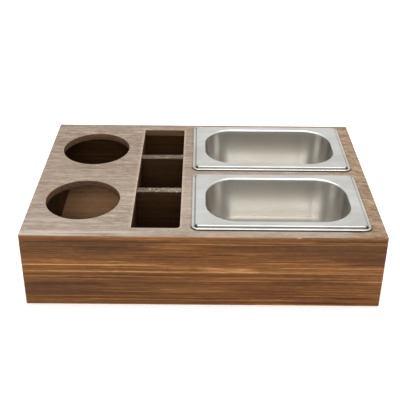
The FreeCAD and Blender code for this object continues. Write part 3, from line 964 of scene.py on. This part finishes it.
def top_face_colour(graph, grain_axis, seed, palette):
    """The colour of a face that looks up: a shorter grain, a painted pale sheen, and browner past the knot.
    """
    layers = grain_layers(graph, grain_axis, seed, TOP_GRAIN, KNOT_SIDE)
    tone = weigh(graph, [(layers[key], weight) for key, weight in TOP_WEIGHTS.items()])
    colour = with_painted_sheen(graph, graph.ramp(tone, palette), seed)
    by_knot = graph.range(graph.position()[X_GRAIN], KNOT_SIDE, KNOT_SIDE + KNOT_FADE)
    return graph.mix(by_knot, colour, graph.ramp(tone, TAN))


def wood(name, grain_axis, seed, palette, top_palette=None):
    """A torched and brushed wood. top_palette is for faces that look up, if they differ."""
    graph = Graph(name)
    layers = grain_layers(graph, grain_axis, seed, SIDE_GRAIN)
    parts = [(layers[key], weight) for key, weight in SIDE_WEIGHTS.items()]
    tone = weigh(graph, parts + [(graph.attribute("figure"), 1.0)])
    colour = graph.ramp(tone, palette)
    # on the top panel, the colour of faces that look up is partly a painted sheen
    if top_palette:
        normal = graph.node("ShaderNodeNewGeometry").outputs["Normal"]
        looks_up = graph.node("ShaderNodeSeparateXYZ", {0: normal}).outputs[2]
        top_colour = top_face_colour(graph, grain_axis, seed, top_palette)
        colour = graph.mix(graph.range(looks_up, *LOOKS_UP), colour, top_colour)
    # darker with torch char, and with painted shade on hidden faces, the openings' walls and round the pans'
    # lips
    colour = graph.mix(graph.attribute("char_and_painted_shade"), colour, graph.ramp(tone, DARK))
    # paler where worn, and where the openings' rims carry a painted highlight
    bare = graph.math("MULTIPLY", graph.attribute("wear_and_painted_highlight"), graph.range(layers["streaks"], 0.3, 0.6, 0.4, 1.0))
    colour = graph.mix(bare, colour, PALE_WOOD)
    graph.feed(graph.shader.inputs["Base Color"], colour)
    graph.feed(graph.shader.inputs["Roughness"], graph.range(layers["streaks"], 0.2, 0.8, *WOOD_ROUGHNESS))
    normal = graph.bump(layers["streaks"], STREAK_BUMP)
    graph.feed(graph.shader.inputs["Normal"], graph.bump(layers["fibres"], FIBRE_BUMP, normal))
    graph.shader.inputs["Specular IOR Level"].default_value = WOOD_SPECULAR
    return graph.material


RIM_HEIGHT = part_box("front_pan")[1].z
BOWL_DEPTH = RIM_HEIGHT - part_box("front_pan")[0].z
BOWL_TONES_AND_LIGHT = [  # brighter towards the floor: painted light, for the light the bowl throws onto its lower part
    (0.0, srgb(184, 181, 175)), (0.19, srgb(186, 183, 177)), (0.44, srgb(194, 191, 185)),
    (0.72, srgb(206, 203, 197)),
]
RIM_TONES = [(0.35, srgb(194, 193, 188)), (0.6, srgb(211, 211, 207))]
MOUTH_DEPTH = 8 * MM  # over which the rim's tone turns into the bowl's
# the last colour is the painted shade in the pans' creases and the painted shadow low on their lips
BRUSHED, BRUSHED_MOST, STEEL_SHADE_COLOUR = srgb(240, 236, 228), 0.06, srgb(24, 23, 22)
BRUSH_RATES, BRUSH_BUMP = (18.0, 2200.0, 2200.0), 0.0008 * MM
SMUDGE_RATES, STEEL_ROUGHNESS = (24.0, 30.0, 30.0), (0.28, 0.31)
CLOUD_RATES = (14.0, 40.0, 40.0)
NAIL_TONES, NAIL_ROUGHNESS = [(0.3, srgb(120, 114, 104)), (0.7, srgb(168, 164, 156))], (0.35, 0.5)
NAIL_RATES = (900.0, 900.0, 900.0)


def steel(name, seed):
    """Satin stainless sheet, brushed along its length."""
    graph = Graph(name)
    axes = graph.position()
    brushing = graph.noise(graph.scaled(axes, BRUSH_RATES, seed), roughness=0.6)
    smudges = graph.noise(graph.scaled(axes, SMUDGE_RATES, seed))
    clouds = graph.noise(graph.scaled(axes, CLOUD_RATES, seed), detail=3.0, roughness=0.6)
    rim = graph.ramp(clouds, RIM_TONES)
    depth = graph.math("SUBTRACT", RIM_HEIGHT, axes[2])
    # painted light: the bowl's steel is lighter the deeper it lies
    bowl = graph.ramp(graph.math("DIVIDE", depth, BOWL_DEPTH), BOWL_TONES_AND_LIGHT)
    bowl = graph.mix(graph.range(brushing, 0.3, 0.7, 0.0, BRUSHED_MOST), bowl, BRUSHED)
    colour = graph.mix(graph.range(depth, 0.0, MOUTH_DEPTH), rim, bowl)
    # painted shade in the lip's crease and corner pockets, and a painted shadow low on the lip's outer edge
    colour = graph.mix(graph.attribute("painted_steel_shade"), colour, STEEL_SHADE_COLOUR)
    graph.feed(graph.shader.inputs["Base Color"], colour)
    graph.feed(graph.shader.inputs["Roughness"], graph.range(smudges, 0.3, 0.7, *STEEL_ROUGHNESS))
    graph.feed(graph.shader.inputs["Normal"], graph.bump(brushing, BRUSH_BUMP))
    graph.shader.inputs["Metallic"].default_value = 1.0
    return graph.material


def nail_steel():
    """Dull drawn wire."""
    graph = Graph("nail_steel")
    drawn = graph.noise(graph.scaled(graph.position(), NAIL_RATES))
    graph.feed(graph.shader.inputs["Base Color"], graph.ramp(drawn, NAIL_TONES))
    graph.feed(graph.shader.inputs["Roughness"], graph.range(drawn, 0.3, 0.7, *NAIL_ROUGHNESS))
    graph.shader.inputs["Metallic"].default_value = 1.0
    return graph.material


# -------------------------------- the object
OUTER_BOARDS = [  # (node, grain, seed, direction of the inner face)
    ("front_board", X_GRAIN, 4.2, (0, 1, 0)),
    ("back_board", X_GRAIN, 11.3, (0, -1, 0)),
    ("left_board", Y_GRAIN, 7.9, (1, 0, 0)),
    ("right_board", Y_GRAIN, 15.1, (-1, 0, 0)),
]
INNER_BOARDS = [  # (node, grain, seed, stain)
    ("bottom_panel", X_GRAIN, 19.4, FLOOR),
    ("cup_bay_partition", Y_GRAIN, 23.8, DARK),
    ("pan_bay_partition", Y_GRAIN, 27.5, DARK),
]
DIVIDERS = [  # (node, seed, how far its edges are eased, how deep its top is chipped)
    ("front_divider", 35.6, 0.5 * MM, 0.55 * MM),
    ("rear_divider", 31.2, 0.6 * MM, 0.0),
]
TOP_SEED = 1.7
PAN_SEEDS = (3.0, 9.0)


def build_wood():
    top_finish = wood("top_wood", X_GRAIN, TOP_SEED, BROWN, GREY)
    place(top_panel(TOP_SEED), "box", "top_panel", top_finish)
    for node, grain_axis, seed, inward in OUTER_BOARDS:
        low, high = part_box(node)
        span = (low.z / MM, high.z / MM, high[grain_axis] / MM)
        streaks = FRONT_STREAKS if node == "front_board" else random_streaks(seed, *span)
        streaks = streaks + hairlines(seed, *span)
        piece = board(node, grain_axis, seed, streaks, inward)
        place(piece, "box", node, wood(node + "_finish", grain_axis, seed, BROWN))
    for node, grain_axis, seed, palette in INNER_BOARDS:
        finish = wood(node + "_finish", grain_axis, seed, palette)
        place(board(node, grain_axis, seed), "box", node, finish)
    for node, seed, ease, rough_top in DIVIDERS:
        finish = wood(node + "_finish", X_GRAIN, seed, DARK, WORN_GREY)
        place(board(node, X_GRAIN, seed, ease=ease, rough_top=rough_top), "box", node, finish)


def build_pans():
    for node, seed in zip(PANS, PAN_SEEDS):
        place(pan(node, seed), node, node, steel(node + "_finish", seed))


def finish_nails():
    material = nail_steel()
    for name, node in frame["nodes"].items():
        if name.endswith(("_brads", "_pins")):
            for material_slot in node.material_slots:
                material_slot.material = material
            if not node.material_slots:
                node.data.materials.append(material)


# -------------------------------- studio
CAMERA_PLACE = Vector((-3.9, -705.6, 484.9)) * MM
CAMERA_RIGHT = Vector((0.99994, 0.0, 0.0096))  # a slight roll, as the photograph has
CAMERA_PITCH = 28.6  # degrees below the horizon
CAMERA_LENS = 66.35
CAMERA_SHIFT_Y = -0.10
SKY_STRENGTH = 0.95
LIGHTS = [  # (name, place, what it points at, size, power)
    ("overhead", (0.0, 0.1, 1.5), (0, 0, 0), (1.2, 0.9), 14),
    ("front", (-0.2, -1.6, 1.1), (0, 0, 0.05), (1.6, 0.9), 6),
]
FLOOR_SIZE = 6.0  # from its centre to its edge
FLOOR_DROP = 0.2 * MM  # below the box's underside
FLOOR_GLOW = 0.2  # keeps the floor as pale as the photograph's ground


def add_camera():
    data = bpy.data.cameras.new("camera")
    data.sensor_width = 36.0
    data.lens = CAMERA_LENS
    data.shift_y = CAMERA_SHIFT_Y
    camera = bpy.data.objects.new("camera", data)
    bpy.context.scene.collection.objects.link(camera)
    pitch = math.radians(CAMERA_PITCH)
    backward = Vector((0, -math.cos(pitch), math.sin(pitch)))
    right = (CAMERA_RIGHT - CAMERA_RIGHT.dot(backward) * backward).normalized()
    up = backward.cross(right)
    turn = Matrix((right, up, backward)).transposed()
    camera.matrix_world = Matrix.Translation(CAMERA_PLACE) @ turn.to_4x4()
    bpy.context.scene.camera = camera


def add_light(name, place_at, target, size, power):
    data = bpy.data.lights.new(name, "AREA")
    data.shape = "RECTANGLE"
    data.size, data.size_y = size
    data.energy = power
    light = bpy.data.objects.new(name, data)
    light.location = place_at
    light.rotation_mode = "QUATERNION"
    light.rotation_quaternion = (Vector(target) - Vector(place_at)).to_track_quat("-Z", "Y")
    bpy.context.scene.collection.objects.link(light)


def add_studio():
    world = bpy.data.worlds.new("studio")
    world.use_nodes = True
    background = world.node_tree.nodes["Background"]
    background.inputs["Color"].default_value = (1.0, 1.0, 1.0, 1.0)
    background.inputs["Strength"].default_value = SKY_STRENGTH
    bpy.context.scene.world = world
    for light in LIGHTS:
        add_light(*light)
    bm = bmesh.new()
    bmesh.ops.create_grid(bm, x_segments=24, y_segments=24, size=FLOOR_SIZE)
    floor = finish_mesh("floor", bm)
    floor.location.z = -FLOOR_DROP
    graph = Graph("floor")
    graph.shader.inputs["Base Color"].default_value = (0.93, 0.93, 0.93, 1.0)
    graph.shader.inputs["Roughness"].default_value = 0.9
    graph.shader.inputs["Emission Color"].default_value = (1.0, 1.0, 1.0, 1.0)
    graph.shader.inputs["Emission Strength"].default_value = FLOOR_GLOW
    floor.data.materials.append(graph.material)
    bpy.context.scene.view_settings.view_transform = "Standard"


add_camera()
build_wood()
build_pans()
finish_nails()
add_studio()
